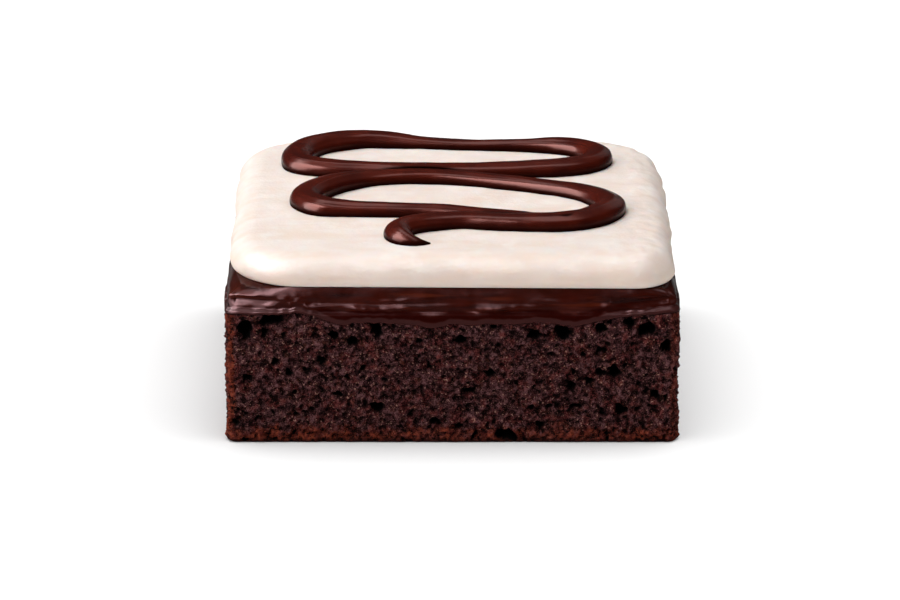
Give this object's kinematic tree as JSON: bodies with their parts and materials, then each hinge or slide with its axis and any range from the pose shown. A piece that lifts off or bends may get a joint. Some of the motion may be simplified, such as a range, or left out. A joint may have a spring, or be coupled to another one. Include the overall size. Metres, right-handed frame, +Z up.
{
  "type": "mud cake",
  "caption": "Square block of chocolate mud cake with open crumb, a glossy chocolate icing layer, a thick rounded cream layer and a chocolate line piped in long loops on top.",
  "frame": {"origin": "centre of the cake's underside, on the plane that it stands on", "axes": "+Z is up, X is across the cut face that is seen in front, and that face looks along -Y"},
  "size_m": [0.0601, 0.0543, 0.0277],
  "materials": {
    "chocolate_sponge": "matt dark brown open chocolate crumb, redder along its edges",
    "chocolate_icing": "glossy dark chocolate icing",
    "cream_layer": "soft satin ivory cream",
    "piped_line": "glossy dark chocolate"
  },
  "bodies": {
    "root": {"chocolate_sponge": "chocolate_sponge", "chocolate_icing": "chocolate_icing", "cream_layer": "cream_layer", "piped_line": "piped_line"}
  },
  "joints": []
}
